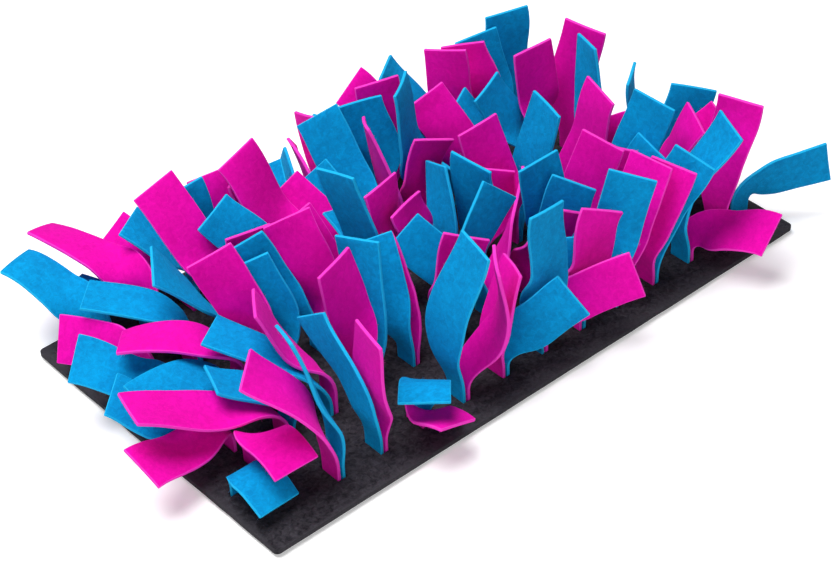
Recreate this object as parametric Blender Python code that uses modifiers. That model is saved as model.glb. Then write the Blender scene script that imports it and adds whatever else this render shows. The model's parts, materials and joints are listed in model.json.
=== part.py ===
"""Snuffle mat: felt strips threaded down one slot of a felt base and up the next one.

Sizes are in millimetres and angles in degrees. +X runs along the rows of slots, +Y to the back
and +Z up. The mat rests on the undersides of its strips, at height zero.
"""

import math
from collections import namedtuple

import bmesh
import bpy
import numpy as np

MM = 0.001

# Base sheet: it lies on the strips that cross beneath it, and droops to the floor at its rim.
BASE_LENGTH = 400.0
BASE_DEPTH = 220.0
BASE_THICK = 3.0
BASE_LIFT = 2.3
CORNER_RADIUS = 3.0
CORNER_STEPS = 4
RIM_WIDTH = 7.0
RIM_STEPS = 3

# Slots: a row number counts from the front, a hole number from the left.
HOLE_PITCH = 30.0
FIRST_HOLE_X = -170.0
LAST_HOLE = 11
ROW_Y = (-84.0, -42.0, 0.0, 42.0, 84.0)
FIRST_HOLE_Y = (-50.0, -28.0, 0.0, 42.0, 84.0)
EDGE_SLOT_X = 184.0
EDGE_SLOT_Y = {"left": (-60.0, -12.0), "right": (-80.0, -28.0)}
SLOT_WIDTH = 6.6
LONE_SLOT_WIDTH = 3.3
SLOT_LENGTH = 15.6

# Strips: each end is a tail, drawn in where it passes through its slot.
STRIP_WIDTH = 28.0
STRIP_THICK = 2.0
DRAWN_WIDTH = 14.0
BRIDGE_WIDTH = 17.0
PLY_OFFSET = 1.65
ROOT_TOP = 11.0
BRIDGE_HEIGHT = 1.0
TURN_HEIGHT = 1.9
TURN_REACH = 0.9
SECTIONS = (0.0, 0.1, 0.22, 0.38, 0.58, 0.8, 1.0)
PARTING = 5.0
PARTING_SHARE = 0.3
BEND_SHARE = 0.36
TWIST_SHARE = 0.6
WIDEN_SHARE = 0.5
MOST_SWAY = 17.0
MOST_FLARE = 26.0

# Pockets for food between the two ends of a strip, as (row, strip) counted from zero.
POCKETS = (
    (0, 4), (0, 8), (1, 1), (1, 4), (1, 8), (2, 2),
    (2, 5), (2, 8), (3, 1), (3, 7), (4, 2), (4, 9),
)
POCKET_INSET = 10.0
POCKET_DEPTH = 14.0
POCKET_LOW = 5.8
POCKET_TOP = 20.0

# Room kept round each tail, so that no strip cuts another.
CELL = 1.0
ROOM_RADIUS = 3
ROOM_LOW = (-270.0, -200.0, 0.0)
ROOM_SIZE = (540, 400, 140)
ROOT_CLEAR = 18.0
LOWEST_TAIL = 6.8
START_SECTIONS = 4
START_STEP = 2.0
PLY_GAP = 2.8
TRIES = 700
RESTARTS = 60
POSE_SPREAD = (60.0, 30.0, 30.0, 70.0)
MORE_LEAN = 22.0
SEED = 11

MAGENTA = (0.80, 0.004, 0.36, 1.0)
BLUE = (0.0, 0.30, 0.60, 1.0)
CHARCOAL = (0.018, 0.016, 0.02, 1.0)
COLOURS = {"M": MAGENTA, "B": BLUE}
ROUGHNESS = 0.95

# One letter per strip, from the left: M magenta, B blue.
ROW_COLOURS = ("MBMBMBMBMBM", "MBMBMBMBMBM", "BMBMBMBMBMB", "MBMBMBMBMBM", "BMBMBMBMBMB")
EDGE_COLOUR = "B"

Tail = namedtuple("Tail", "heading lean curl turn length least", defaults=(60.0,))

# Tails by row, then by hole, then by ply: L belongs to the strip that runs to the left, R to the
# one that runs to the right. heading: compass of the lean, 0 to +X and 90 to the back.
# lean: tilt once it is clear of the hole. curl: more tilt by the tip. turn: face turned about
# the tail's own length. length: from the drawn-in root to the tip. least: the most that the face
# turns clockwise on its way up from the slot, in a half circle.
FRONT_ROW = {
    (0, "R"): Tail(268, 44, 80, 0, 60),
    (1, "L"): Tail(140, 24, 20, -5, 86), (1, "R"): Tail(135, 24, 16, -2, 88),
    (2, "L"): Tail(135, 14, 5, 80, 94), (2, "R"): Tail(190, 14, -14, 10, 76),
    (3, "L"): Tail(275, 72, 20, 0, 46), (3, "R"): Tail(228, 28, 70, 0, 56),
    (4, "L"): Tail(330, 10, 4, -40, 102), (4, "R"): Tail(315, 26, -30, -15, 90),
    (5, "L"): Tail(322, 12, 15, 60, 74), (5, "R"): Tail(330, 38, 4, -78, 64),
    (6, "L"): Tail(330, 8, 0, 60, 94), (6, "R"): Tail(328, 46, 20, 60, 74),
    (7, "L"): Tail(330, 14, 10, 60, 78), (7, "R"): Tail(322, 16, 6, 60, 72),
    (8, "L"): Tail(338, 12, 4, -60, 84), (8, "R"): Tail(0, 24, 4, -10, 86),
    (9, "L"): Tail(330, 18, -4, -30, 78), (9, "R"): Tail(330, 16, 5, -60, 82),
    (10, "L"): Tail(325, 20, 5, 0, 96), (10, "R"): Tail(336, 56, 36, 12, 68),
    (11, "L"): Tail(325, 12, -10, -40, 92),
}
SECOND_ROW = {
    (0, "R"): Tail(152, 74, 10, 0, 75),
    (1, "L"): Tail(160, 84, 8, 10, 100), (1, "R"): Tail(160, 68, 10, 0, 64),
    (2, "L"): Tail(150, 76, 8, 0, 82), (2, "R"): Tail(140, 50, 5, 20, 82),
    (3, "L"): Tail(140, 6, 4, 60, 84), (3, "R"): Tail(150, 4, 2, 80, 90),
    (4, "L"): Tail(140, 16, 0, 50, 86), (4, "R"): Tail(135, 8, 5, 85, 78),
    (5, "L"): Tail(320, 14, 8, 60, 70), (5, "R"): Tail(322, 16, 0, -40, 100),
    (6, "L"): Tail(136, 42, 0, 70, 72), (6, "R"): Tail(325, 52, 10, 60, 82),
    (7, "L"): Tail(300, 30, 8, 45, 70), (7, "R"): Tail(320, 24, 0, -80, 72),
    (8, "L"): Tail(140, 8, 0, 80, 76), (8, "R"): Tail(322, 16, 0, -60, 84),
    (9, "L"): Tail(322, 14, 0, -60, 72), (9, "R"): Tail(318, 28, 5, -50, 68),
    (10, "L"): Tail(320, 6, 0, -62, 92), (10, "R"): Tail(322, 30, 5, 5, 76),
    (11, "L"): Tail(315, 32, 10, -40, 70),
}
MIDDLE_ROW = {
    (0, "R"): Tail(128, 74, 12, 10, 78),
    (1, "L"): Tail(154, 70, 20, 0, 84), (1, "R"): Tail(140, 62, 52, 0, 88),
    (2, "L"): Tail(135, 22, 0, 75, 84), (2, "R"): Tail(135, 16, 0, 80, 70),
    (3, "L"): Tail(135, 35, 0, 70, 80), (3, "R"): Tail(110, 20, 0, 60, 80),
    (4, "L"): Tail(135, 32, 0, 60, 78), (4, "R"): Tail(130, 10, 0, -55, 100),
    (5, "L"): Tail(140, 40, 0, 0, 74), (5, "R"): Tail(133, 12, 0, -45, 80),
    (6, "L"): Tail(140, 35, 0, 40, 64), (6, "R"): Tail(60, 25, 0, 60, 64),
    (7, "L"): Tail(135, 15, 0, 80, 72), (7, "R"): Tail(315, 20, 0, 60, 64),
    (8, "L"): Tail(120, 14, 0, 50, 78), (8, "R"): Tail(322, 13, 0, -38, 88),
    (9, "L"): Tail(180, 30, 10, 0, 64), (9, "R"): Tail(323, 22, 0, -40, 86),
    (10, "L"): Tail(325, 6, 0, 5, 100), (10, "R"): Tail(60, 10, 0, 60, 96),
    (11, "L"): Tail(320, 8, 0, 5, 72),
}
FOURTH_ROW = {
    (0, "R"): Tail(125, 80, 12, 50, 62),
    (1, "L"): Tail(121, 38, 8, 30, 74), (1, "R"): Tail(134, 66, 14, 0, 80),
    (2, "L"): Tail(130, 34, 0, 10, 76), (2, "R"): Tail(108, 40, 2, 26, 98),
    (3, "L"): Tail(128, 40, 0, 50, 72), (3, "R"): Tail(133, 36, 0, 50, 76),
    (4, "L"): Tail(130, 32, 0, 0, 64), (4, "R"): Tail(120, 38, 0, 12, 96),
    (5, "L"): Tail(130, 45, 0, 50, 64), (5, "R"): Tail(130, 38, 0, 70, 66),
    (6, "L"): Tail(120, 42, 0, 30, 90), (6, "R"): Tail(125, 22, 0, -84, 78),
    (7, "L"): Tail(120, 36, 0, 60, 78), (7, "R"): Tail(126, 14, 0, 10, 96),
    (8, "L"): Tail(133, 32, 0, 0, 72), (8, "R"): Tail(122, 28, 0, 60, 76),
    (9, "L"): Tail(145, 68, 15, 20, 66), (9, "R"): Tail(130, 38, 0, 0, 62),
    (10, "L"): Tail(130, 35, 0, 60, 68), (10, "R"): Tail(130, 6, 0, 60, 80),
    (11, "L"): Tail(320, 8, 0, -70, 86),
}
BACK_ROW = {
    (0, "R"): Tail(112, 52, 38, 15, 74),
    (1, "L"): Tail(150, 84, 8, 20, 58), (1, "R"): Tail(114, 64, 22, 0, 92),
    (2, "L"): Tail(148, 68, 10, 0, 64), (2, "R"): Tail(140, 62, 14, 0, 66),
    (3, "L"): Tail(125, 20, 0, 60, 66), (3, "R"): Tail(110, 20, 0, 40, 64),
    (4, "L"): Tail(130, 34, 0, 0, 64), (4, "R"): Tail(120, 16, 0, 40, 64),
    (5, "L"): Tail(130, 30, 0, 60, 66), (5, "R"): Tail(120, 20, 0, 50, 66),
    (6, "L"): Tail(125, 25, 0, 40, 72), (6, "R"): Tail(125, 15, 0, -60, 64),
    (7, "L"): Tail(125, 15, 0, 60, 72), (7, "R"): Tail(120, 6, 0, 60, 76),
    (8, "L"): Tail(120, 12, 0, 60, 74), (8, "R"): Tail(124, 22, 4, 14, 78),
    (9, "L"): Tail(120, 12, 0, 20, 76), (9, "R"): Tail(124, 10, 0, 80, 72),
    (10, "L"): Tail(125, 12, 0, 80, 70), (10, "R"): Tail(130, 14, 0, 50, 70),
    (11, "L"): Tail(125, 9, 0, 74, 78),
}
ROWS = (FRONT_ROW, SECOND_ROW, MIDDLE_ROW, FOURTH_ROW, BACK_ROW)
ROW_NAMES = ("front", "second", "middle", "fourth", "back")
EDGE_TAILS = {
    "left": (Tail(272, 82, 40, 0, 42), Tail(100, 50, 10, 0, 50)),
    "right": (Tail(331, 78, 2, 80, 66), Tail(335, 10, 0, -80, 62)),
}
# Tails laid before the others, in this order.
LAID_FIRST = (
    (3, 4, "R"), (3, 3, "R"), (3, 4, "L"), (2, 8, "L"), (0, 6, "L"), (0, 7, "L"), (1, 7, "L"), (0, 2, "R"),
    (0, 3, "R"), (4, 0, "R"), (4, 1, "R"), (4, 2, "L"), (0, 11, "L"), (0, 3, "L"),
    (0, 10, "R"), (0, 8, "L"), (0, 7, "R"), ("left", 0), ("right", 0), (0, 1, "L"),
    (0, 1, "R"), (0, 0, "R"), (0, 2, "L"), (0, 4, "L"), (0, 4, "R"), (0, 5, "L"), (0, 5, "R"),
    (0, 6, "R"), (0, 10, "L"), (0, 9, "L"), (0, 9, "R"), (0, 8, "R"), (4, 7, "R"),
    (3, 0, "R"), (2, 0, "R"), (1, 0, "R"), (3, 2, "R"), (4, 2, "R"), (4, 1, "L"),
    (2, 1, "R"), (1, 1, "L"), (4, 8, "R"), (4, 11, "L"), (3, 11, "L"), (4, 8, "L"),
    (4, 7, "L"), (3, 8, "R"), (3, 9, "L"), (3, 9, "R"), (1, 7, "R"), (2, 10, "R"),
    ("right", 1), (4, 9, "R"), (4, 9, "L"), (3, 1, "R"), (3, 1, "L"), (3, 7, "R"),
)


def ease(share):
    """Smooth step from 0 to 1 for shares from 0 to 1."""
    share = np.clip(share, 0.0, 1.0)
    return share * share * (3.0 - 2.0 * share)


def hole_centre(row, hole):
    """Middle of a slot of the rows."""
    y = FIRST_HOLE_Y[row] if hole == 0 else ROW_Y[row]
    return FIRST_HOLE_X + HOLE_PITCH * hole, y


def parting_of(key):
    """How far a tail moves along X, away from the other ply of its hole."""
    if key[0] in EDGE_SLOT_Y or key[1] in (0, LAST_HOLE):
        return 0.0
    return PARTING if key[2] == "R" else -PARTING


def root_of(key):
    """(x, y, compass of the slot's long side) where a tail leaves the base."""
    if key[0] in EDGE_SLOT_Y:
        side = -1.0 if key[0] == "left" else 1.0
        return side * EDGE_SLOT_X, EDGE_SLOT_Y[key[0]][key[1]], 0.0
    row, hole, ply = key
    x, y = hole_centre(row, hole)
    return x + (PLY_OFFSET if ply == "R" else -PLY_OFFSET), y, 90.0


def give_of(key):
    """(sway, flare) of a tail: its slight double bend and its last twist, each its own."""
    random = np.random.default_rng([SEED, *(ord(letter) for letter in str(key))])
    return random.uniform(-1.0, 1.0, 2) * (MOST_SWAY, MOST_FLARE)


def tail_sections(key, tail, shares):
    """Middle, half-width vector and face normal of a tail at each share of its length."""
    x, y, slot = root_of(key)
    sway, flare = give_of(key)
    fine = np.linspace(0.0, 1.0, 101)
    tilt = tail.lean * ease(fine / BEND_SHARE) + tail.curl * fine**2
    tilt = np.radians(tilt - sway * np.sin(2 * math.pi * fine))
    step = (tilt[1:] + tilt[:-1]) / 2
    out = np.concatenate([[0.0], np.cumsum(np.sin(step))]) * tail.length / 100
    up = np.concatenate([[0.0], np.cumsum(np.cos(step))]) * tail.length / 100
    out, up, tilt = (np.interp(shares, fine, line) for line in (out, up, tilt))
    heading = math.radians(tail.heading)
    ahead = np.array([math.cos(heading), math.sin(heading), 0.0])
    across = np.array([-math.sin(heading), math.cos(heading), 0.0])
    rise = np.array([0.0, 0.0, 1.0])
    middle = np.array([x, y, ROOT_TOP]) + np.outer(out, ahead) + np.outer(up, rise)
    middle[:, 0] += parting_of(key) * ease(shares / PARTING_SHARE)
    along = np.outer(np.sin(tilt), ahead) + np.outer(np.cos(tilt), rise)
    over = np.outer(np.cos(tilt), ahead) - np.outer(np.sin(tilt), rise)
    twist = (tail.heading + 90.0 - slot - tail.turn + tail.least) % 180.0 - tail.least
    start = tail.turn + twist
    turn = start + (tail.turn - start) * ease(shares / TWIST_SHARE) + flare * shares**2
    turn = np.radians(turn)[:, None]
    wide = across * np.cos(turn) + over * np.sin(turn)
    side = np.array([math.cos(math.radians(slot)), math.sin(math.radians(slot)), 0.0])
    wide = wide * math.copysign(1.0, wide[0] @ side)
    half = (DRAWN_WIDTH + (STRIP_WIDTH - DRAWN_WIDTH) * ease(shares / WIDEN_SHARE)) / 2
    return middle, wide * half[:, None], np.cross(wide, along)


def facet_points(middle, half, step):
    """Points about a step apart over the two triangles between each pair of sections of a tail."""
    wide = np.linspace(0.0, 1.0, int(STRIP_WIDTH / step) + 2)[:, None, None]
    points = []
    for near, far in zip(range(len(middle) - 1), range(1, len(middle))):
        length = np.linalg.norm(middle[far] - middle[near])
        long = np.linspace(0.0, 1.0, int(1.2 * length / step) + 2)[None, :, None]
        start, end = middle[near] - half[near], middle[far] - half[far]
        beside = start + 2 * half[near] * wide + (end + 2 * half[far] - start - 2 * half[near]) * long
        above = start + (end - start) * long + 2 * half[far] * wide
        points.append(np.where(long <= wide, beside, above).reshape(-1, 3))
    return np.concatenate(points)


def cells_of(points):
    """Number of the room's cell that holds each point."""
    place = ((points - np.array(ROOM_LOW)) / CELL).astype(int)
    place = np.clip(place, 0, np.array(ROOM_SIZE) - 1)
    return (place[:, 0] * ROOM_SIZE[1] + place[:, 1]) * ROOM_SIZE[2] + place[:, 2]


def thick_cells(points):
    """Cells within the kept radius of any of the points."""
    reach = np.arange(-ROOM_RADIUS, ROOM_RADIUS + 1)
    ball = np.stack(np.meshgrid(reach, reach, reach), axis=-1).reshape(-1, 3)
    ball = ball[(ball**2).sum(axis=1) <= (ROOM_RADIUS + 0.3) ** 2] * CELL
    return np.unique(np.concatenate([cells_of(points + step) for step in ball]))


def root_cells(key):
    """Cells round the upright root of a tail, kept clear for it."""
    x, y, slot = root_of(key)
    side = np.array([math.cos(math.radians(slot)), math.sin(math.radians(slot)), 0.0])
    middle = np.array([[x, y, BASE_LIFT + BASE_THICK], [x, y, ROOT_TOP + ROOT_CLEAR]])
    return thick_cells(facet_points(middle, np.array([side, side]) * DRAWN_WIDTH / 2, CELL))


def pocket_box(row, strip):
    """Lowest and highest corner of the pocket above the middle of a strip."""
    near, y = hole_centre(row, strip)
    far = hole_centre(row, strip + 1)[0]
    low = np.array([near + POCKET_INSET, y - POCKET_DEPTH / 2, POCKET_LOW])
    high = np.array([far - POCKET_INSET, y + POCKET_DEPTH / 2, POCKET_TOP])
    return low, high


def pocket_cells(row, strip):
    """Cells of a pocket and of half a strip's thickness round it."""
    low, high = pocket_box(row, strip)
    lines = [np.arange(a - STRIP_THICK, b + STRIP_THICK, CELL) for a, b in zip(low, high)]
    return np.unique(cells_of(np.stack(np.meshgrid(*lines), axis=-1).reshape(-1, 3)))


def start_points(middle, half):
    """Points over the start of a tail, where the other ply of its hole is close."""
    return facet_points(middle[:START_SECTIONS], half[:START_SECTIONS], START_STEP)


def is_clear(middle, half, room, other_start):
    """Whether a tail keeps off the base, the laid tails and the other ply of its hole."""
    points = facet_points(middle, half, CELL)
    if points[:, 2].min() < LOWEST_TAIL or room[cells_of(points)].any():
        return False
    if other_start is None:
        return True
    points = facet_points(middle, half, START_STEP)
    apart = np.linalg.norm(points[:, None] - other_start[None], axis=2)
    return apart.min() > PLY_GAP


def poses_near(tail, outward, key):
    """The tail's own pose, then poses further from it, then shorter and more upright ones."""
    yield tail
    yield tail._replace(least=120.0)
    random = np.random.default_rng([SEED, *(ord(letter) for letter in str(key))])
    upright = Tail(outward, 14.0, 0.0, 0.0, 0.75 * tail.length)
    short = Tail(outward, 10.0, 0.0, 0.0, 0.5 * tail.length)
    for wanted, spread in ((tail, 1.0), (upright, 0.6), (short, 0.6)):
        for step in range(TRIES):
            reach = spread * ((step + 1) / TRIES) ** 1.4
            heading, lean, curl, turn = random.normal(size=4) * POSE_SPREAD * reach
            yield Tail(
                heading=wanted.heading + heading,
                lean=min(max(wanted.lean + lean, 0.0), wanted.lean + MORE_LEAN, 84.0),
                curl=wanted.curl + curl,
                turn=wanted.turn + turn,
                length=wanted.length * (1.0 - 0.45 * reach * random.random()),
                least=random.choice((60.0, 120.0)),
            )


def other_ply(key):
    """The tail that shares the hole of this one, where there is one."""
    if key[0] in EDGE_SLOT_Y:
        return None
    return (key[0], key[1], "L" if key[2] == "R" else "R")


def wanted_tails():
    """Every tail of the tables, by its key: row, hole and ply, or side and end."""
    wanted = {(row, *place): tail for row, tails in enumerate(ROWS) for place, tail in tails.items()}
    for side, pair in EDGE_TAILS.items():
        wanted.update({(side, end): tail for end, tail in enumerate(pair)})
    return wanted


def lay_in_order(wanted, order):
    """Poses of the tails, laid one after the other, and the first one that finds no room."""
    room = np.zeros(ROOM_SIZE[0] * ROOM_SIZE[1] * ROOM_SIZE[2], np.int8)
    roots = {key: root_cells(key) for key in wanted}
    for cells in (*roots.values(), *(pocket_cells(*place) for place in POCKETS)):
        room[cells] += 1
    laid, starts, start_cells = {}, {}, {}
    for key in order:
        other = other_ply(key)
        shared = [roots[key], roots.get(other), start_cells.get(other)]
        shared = [cells for cells in shared if cells is not None]
        for cells in shared:
            room[cells] -= 1
        for tail in poses_near(wanted[key], 0.0 if parting_of(key) > 0.0 else 180.0, key):
            middle, half, _ = tail_sections(key, tail, np.array(SECTIONS))
            if is_clear(middle, half, room, starts.get(other)):
                break
        else:
            return laid, key
        for cells in shared:
            room[cells] += 1
        laid[key] = tail
        starts[key] = start_points(middle, half)
        start_cells[key] = thick_cells(starts[key])
        rest = facet_points(middle[START_SECTIONS - 1 :], half[START_SECTIONS - 1 :], CELL)
        room[start_cells[key]] += 1
        room[thick_cells(rest)] += 1
    return laid, None


def lay_tails():
    """Pose of every tail: the one in the tables, or the nearest that clears the others.

    A tail that finds no room goes to the head of the order, and the laying starts again.
    """
    wanted = wanted_tails()
    order = [*LAID_FIRST, *(key for key in wanted if key not in LAID_FIRST)]
    for _ in range(RESTARTS):
        laid, stuck = lay_in_order(wanted, order)
        if stuck is None:
            return laid
        order.remove(stuck)
        order.insert(0, stuck)
    raise ValueError("the tails find no room")


# ---- scene ----


def strip_ends(row, strip):
    """Keys of the two tails of a strip of the rows."""
    return (row, strip, "R"), (row, strip + 1, "L")


def root_section(key, height, reach, width):
    """Middle and half-width vector of a strip in its slot, or beneath it at a reach along it."""
    x, y, slot = root_of(key)
    compass = math.radians(slot)
    side = np.array([math.cos(compass), math.sin(compass), 0.0])
    ahead = np.array([math.sin(compass), math.cos(compass), 0.0])
    return np.array([x, y, height]) + reach * ahead, side * width / 2


def strip_sections(keys, tails):
    """Sections of a whole strip: tip, down a slot, under the base, up the next slot, tip."""
    ways = []
    for key, tail, sign in zip(keys, tails, (1.0, -1.0)):
        middle, half, _ = tail_sections(key, tail, np.array(SECTIONS))
        below = [
            root_section(key, TURN_HEIGHT, 0.0, DRAWN_WIDTH),
            root_section(key, BRIDGE_HEIGHT, sign * TURN_REACH, DRAWN_WIDTH),
        ]
        ways.append(list(zip(middle, half))[::-1] + below)
    under = (ways[0][-1][0] + ways[1][-1][0]) / 2
    side = ways[0][-1][1] / np.linalg.norm(ways[0][-1][1])
    return [*ways[0], (under, side * BRIDGE_WIDTH / 2), *ways[1][::-1]]


def felt(name, colour):
    """Material of one piece of felt."""
    material = bpy.data.materials.new(name)
    material.use_nodes = True
    material.diffuse_color = colour
    shader = material.node_tree.nodes["Principled BSDF"]
    shader.inputs["Base Color"].default_value = colour
    shader.inputs["Roughness"].default_value = ROUGHNESS
    shader.inputs["Metallic"].default_value = 0.0
    return material


def add_object(name, mesh_maker, collection, place, parent):
    """Object with the mesh that the maker fills in, placed and parented."""
    mesh = bpy.data.meshes.new(name)
    shape = bmesh.new()
    mesh_maker(shape)
    shape.to_mesh(mesh)
    shape.free()
    piece = bpy.data.objects.new(name, mesh)
    collection.objects.link(piece)
    piece.location = np.array(place) * MM
    piece.parent = parent
    return piece


def thicken(piece, thickness, offset):
    """Give a sheet its thickness: on both sides of it at offset 0, above it at offset 1."""
    solidify = piece.modifiers.new("thickness", "SOLIDIFY")
    solidify.thickness = thickness * MM
    solidify.offset = offset
    solidify.use_even_offset = False


def add_strip(name, keys, laid, colour, collection, mat):
    """One felt strip, with its origin below its first slot."""
    sections = strip_sections(keys, [laid[key] for key in keys])
    origin = np.array([*root_of(keys[0])[:2], 0.0])

    def fill(shape):
        rows = len(sections) - 1
        bmesh.ops.create_grid(shape, x_segments=1, y_segments=rows, size=0.5)
        faces = sorted(shape.faces, key=lambda face: face.calc_center_median().y)
        for vert in shape.verts:
            middle, half = sections[round((vert.co.y + 0.5) * rows)]
            vert.co = (middle + math.copysign(1.0, vert.co.x) * half - origin) * MM
        bmesh.ops.triangulate(shape, faces=faces[: rows // 2], quad_method="ALTERNATE")
        bmesh.ops.triangulate(shape, faces=faces[rows // 2 :], quad_method="FIXED")

    strip = add_object(name, fill, collection, origin, mat)
    thicken(strip, STRIP_THICK, 0.0)
    strip.data.materials.append(felt(name, colour))


def fill_base(shape):
    """Underside of the base: rounded corners, and a rim that droops to the floor."""
    bmesh.ops.create_grid(shape, x_segments=1, y_segments=1, size=0.5 * MM)
    bmesh.ops.scale(shape, vec=(BASE_LENGTH, BASE_DEPTH, 1.0), verts=shape.verts)
    bmesh.ops.bevel(
        shape,
        geom=shape.verts[:],
        affect="VERTICES",
        offset=CORNER_RADIUS * MM,
        segments=CORNER_STEPS,
        profile=0.5,
    )
    inner = shape.faces[:]
    for ring in range(RIM_STEPS):
        bmesh.ops.inset_region(
            shape, faces=inner, thickness=RIM_WIDTH / RIM_STEPS * MM, use_even_offset=True
        )
        height = BASE_LIFT * float(ease((ring + 1) / RIM_STEPS))
        for vert in inner[0].verts:
            vert.co.z = height * MM


def slot_places():
    """(x, y, length along X, length along Y) of every slot; those with one ply are narrower."""
    places = []
    for row in range(len(ROW_Y)):
        for hole in range(1, LAST_HOLE):
            places.append((*hole_centre(row, hole), SLOT_WIDTH, SLOT_LENGTH))
        for key in ((row, 0, "R"), (row, LAST_HOLE, "L")):
            places.append((*root_of(key)[:2], LONE_SLOT_WIDTH, SLOT_LENGTH))
    for side, ends in EDGE_SLOT_Y.items():
        for end in range(len(ends)):
            places.append((*root_of((side, end))[:2], SLOT_LENGTH, LONE_SLOT_WIDTH))
    return places


def fill_slots(shape):
    """Boxes that cut the slots out of the base."""
    for x, y, across, along in slot_places():
        box = bmesh.ops.create_cube(shape, size=MM)["verts"]
        bmesh.ops.scale(shape, vec=(across, along, 4 * BASE_THICK), verts=box)
        bmesh.ops.translate(shape, vec=np.array([x, y, BASE_LIFT + BASE_THICK / 2]) * MM, verts=box)


def add_base(collection, cutters, mat):
    """Felt base with its slots cut through."""
    base = add_object("base_sheet", fill_base, collection, (0.0, 0.0, 0.0), mat)
    thicken(base, BASE_THICK, 1.0)
    slots = add_object("slot_cutter", fill_slots, cutters, (0.0, 0.0, 0.0), mat)
    slots.hide_render = True
    slots.display_type = "WIRE"
    cut = base.modifiers.new("slots", "BOOLEAN")
    cut.operation = "DIFFERENCE"
    cut.solver = "EXACT"
    cut.object = slots
    base.data.materials.append(felt("base_sheet", CHARCOAL))


def clear_scene():
    """Remove every object of the startup scene."""
    for item in list(bpy.data.objects):
        bpy.data.objects.remove(item, do_unlink=True)


def main():
    clear_scene()
    scene = bpy.context.scene
    collection = bpy.data.collections.new("snuffle_mat")
    cutters = bpy.data.collections.new("cutters")
    cutters.hide_render = True
    scene.collection.children.link(collection)
    scene.collection.children.link(cutters)
    mat = bpy.data.objects.new("mat_origin", None)
    collection.objects.link(mat)
    add_base(collection, cutters, mat)
    laid = lay_tails()
    for row, letters in enumerate(ROW_COLOURS):
        for strip, letter in enumerate(letters):
            name = f"{ROW_NAMES[row]}_strip_{strip + 1:02d}"
            add_strip(name, strip_ends(row, strip), laid, COLOURS[letter], collection, mat)
    for side in EDGE_TAILS:
        keys = ((side, 0), (side, 1))
        add_strip(f"{side}_edge_strip", keys, laid, COLOURS[EDGE_COLOUR], collection, mat)


if __name__ == "__main__":
    main()
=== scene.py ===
"""Looks of the snuffle mat: felt strips on a felt base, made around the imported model.

The sizes, the tables and the laying of the tails are those of the part, in millimetres and
degrees. Each strip is remade here as a finely rounded length of felt in the same place.
"""

import json
import math
from collections import namedtuple

import bmesh
import bpy
import numpy as np
from mathutils import Matrix, Vector, noise

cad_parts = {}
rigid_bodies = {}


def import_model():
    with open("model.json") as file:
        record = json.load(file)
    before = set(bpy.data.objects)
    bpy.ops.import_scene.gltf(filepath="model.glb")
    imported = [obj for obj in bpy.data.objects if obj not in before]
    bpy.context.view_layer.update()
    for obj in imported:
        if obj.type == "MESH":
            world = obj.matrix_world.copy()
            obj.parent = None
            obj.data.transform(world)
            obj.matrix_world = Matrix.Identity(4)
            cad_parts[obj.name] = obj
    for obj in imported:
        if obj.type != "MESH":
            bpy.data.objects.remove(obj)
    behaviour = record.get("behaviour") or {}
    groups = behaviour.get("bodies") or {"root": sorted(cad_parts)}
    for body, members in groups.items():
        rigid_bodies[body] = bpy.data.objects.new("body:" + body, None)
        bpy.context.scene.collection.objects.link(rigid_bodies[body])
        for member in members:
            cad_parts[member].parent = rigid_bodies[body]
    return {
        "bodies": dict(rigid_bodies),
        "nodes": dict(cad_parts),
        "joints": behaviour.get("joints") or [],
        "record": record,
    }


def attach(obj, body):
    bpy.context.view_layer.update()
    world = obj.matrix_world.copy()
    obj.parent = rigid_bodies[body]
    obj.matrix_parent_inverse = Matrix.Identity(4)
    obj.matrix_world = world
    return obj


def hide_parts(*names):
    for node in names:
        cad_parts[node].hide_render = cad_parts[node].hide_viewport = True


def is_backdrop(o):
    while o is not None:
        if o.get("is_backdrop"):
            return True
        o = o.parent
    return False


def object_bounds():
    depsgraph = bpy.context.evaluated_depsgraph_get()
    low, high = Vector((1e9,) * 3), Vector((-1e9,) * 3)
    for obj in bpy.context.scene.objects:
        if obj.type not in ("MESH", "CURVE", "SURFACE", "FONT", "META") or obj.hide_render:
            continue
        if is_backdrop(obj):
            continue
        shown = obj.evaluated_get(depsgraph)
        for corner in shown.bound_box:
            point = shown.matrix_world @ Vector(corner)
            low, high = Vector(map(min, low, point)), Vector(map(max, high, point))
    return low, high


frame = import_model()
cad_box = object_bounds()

MM = 0.001

# Base sheet: flat, lying on the strips that cross beneath it.
BASE_LENGTH = 400.0
BASE_DEPTH = 220.0
BASE_THICK = 3.0
BASE_LIFT = 2.3

# Slots: a row number counts from the front, a hole number from the left.
HOLE_PITCH = 30.0
FIRST_HOLE_X = -170.0
LAST_HOLE = 11
ROW_Y = (-84.0, -42.0, 0.0, 42.0, 84.0)
FIRST_HOLE_Y = (-50.0, -28.0, 0.0, 42.0, 84.0)
EDGE_SLOT_X = 184.0
EDGE_SLOT_Y = {"left": (-60.0, -12.0), "right": (-80.0, -28.0)}

# Strips: each end is a tail, drawn in where it passes through its slot.
STRIP_WIDTH = 28.0
STRIP_THICK = 2.0
DRAWN_WIDTH = 14.0
BRIDGE_WIDTH = 17.0
PLY_OFFSET = 1.65
ROOT_TOP = 11.0
BRIDGE_HEIGHT = 1.0
TURN_HEIGHT = 1.9
TURN_REACH = 0.9
SECTIONS = (0.0, 0.1, 0.22, 0.38, 0.58, 0.8, 1.0)
PARTING = 5.0
PARTING_SHARE = 0.3
BEND_SHARE = 0.36
TWIST_SHARE = 0.6
WIDEN_SHARE = 0.5
MOST_SWAY = 17.0
MOST_FLARE = 26.0

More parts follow.
